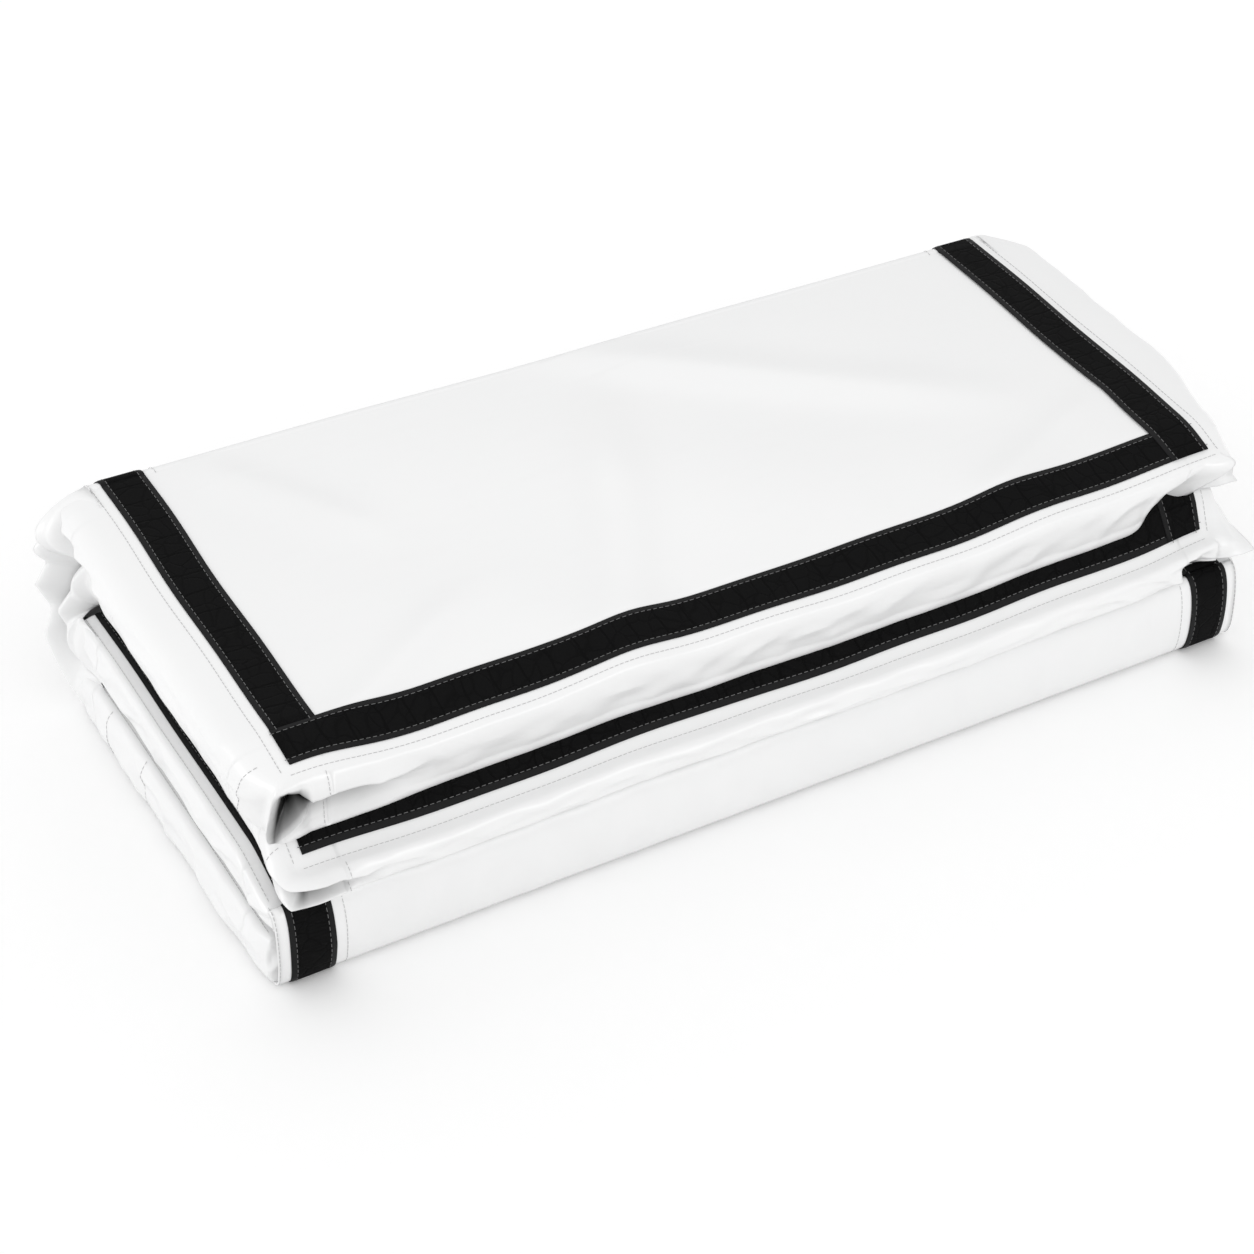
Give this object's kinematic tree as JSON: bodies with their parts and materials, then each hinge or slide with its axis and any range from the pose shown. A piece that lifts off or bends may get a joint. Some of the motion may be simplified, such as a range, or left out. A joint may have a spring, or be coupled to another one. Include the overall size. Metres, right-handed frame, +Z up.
{
  "type": "folding gym mat",
  "caption": "Soft folding gym mat with a white vinyl cover and black hook-and-loop edge tape, folded flat in quarters",
  "frame": {"origin": "middle of the footprint, on the surface the folded mat lies on", "axes": "+X along the folds and the long side, -Y the side where the two free panel ends open, +Z up through the stack of panels"},
  "size_m": [1.22, 0.56, 0.2894],
  "materials": {
    "cover_vinyl": "white PVC-coated polyester, smooth and semi-gloss",
    "hook_and_loop": "black woven hook-and-loop tape, matt, with selvedges",
    "foam": "cut polyethylene foam"
  },
  "bodies": {
    "base": {"bottom_face_above": "cover_vinyl", "bottom_face_below": "cover_vinyl", "bottom_foam_core": "foam", "bottom_left_tape_above": "hook_and_loop", "bottom_left_tape_below": "hook_and_loop", "bottom_left_wall": "cover_vinyl", "bottom_right_tape_above": "hook_and_loop", "bottom_right_tape_below": "hook_and_loop", "bottom_right_wall": "cover_vinyl", "front_fold_left_tape": "hook_and_loop", "front_fold_right_tape": "hook_and_loop", "front_fold_web": "cover_vinyl", "inner_fold_web_lower": "cover_vinyl", "lower_face_above": "cover_vinyl", "lower_face_below": "cover_vinyl", "lower_foam_core": "foam", "lower_left_tape_above": "hook_and_loop", "lower_left_tape_below": "hook_and_loop", "lower_left_wall": "cover_vinyl", "lower_right_tape_above": "hook_and_loop", "lower_right_tape_below": "hook_and_loop", "lower_right_wall": "cover_vinyl", "outer_fold_lower_left_tape": "hook_and_loop", "outer_fold_lower_right_tape": "hook_and_loop", "outer_fold_web_lower": "cover_vinyl"},
    "top_leaf": {"outer_fold_upper_left_tape": "hook_and_loop", "outer_fold_upper_right_tape": "hook_and_loop", "outer_fold_web_upper": "cover_vinyl", "top_face_above": "cover_vinyl", "top_face_below": "cover_vinyl", "top_foam_core": "foam", "top_front_tape_above": "hook_and_loop", "top_front_tape_below": "hook_and_loop", "top_front_wall": "cover_vinyl", "top_left_tape_above": "hook_and_loop", "top_left_tape_below": "hook_and_loop", "top_left_wall": "cover_vinyl", "top_right_tape_above": "hook_and_loop", "top_right_tape_below": "hook_and_loop", "top_right_wall": "cover_vinyl"},
    "inner_leaf": {"inner_fold_web_upper": "cover_vinyl", "upper_face_above": "cover_vinyl", "upper_face_below": "cover_vinyl", "upper_foam_core": "foam", "upper_front_tape_above": "hook_and_loop", "upper_front_tape_below": "hook_and_loop", "upper_front_wall": "cover_vinyl", "upper_left_tape_above": "hook_and_loop", "upper_left_tape_below": "hook_and_loop", "upper_left_wall": "cover_vinyl", "upper_right_tape_above": "hook_and_loop", "upper_right_tape_below": "hook_and_loop", "upper_right_wall": "cover_vinyl"}
  },
  "joints": [
    {"name": "outer_fold", "type": "hinge", "parent": "base", "child": "top_leaf", "pos_m": [0, 0.2803, 0.1447], "axis": [-1, 0, 0], "range_deg": [0, 180]},
    {"name": "inner_fold", "type": "hinge", "parent": "base", "child": "inner_leaf", "pos_m": [0, 0.2803, 0.1447], "axis": [-1, 0, 0], "range_deg": [0, 180]}
  ],
  "couplings": [
    {"joint": "inner_fold", "follows": "outer_fold", "ratio": 1}
  ]
}
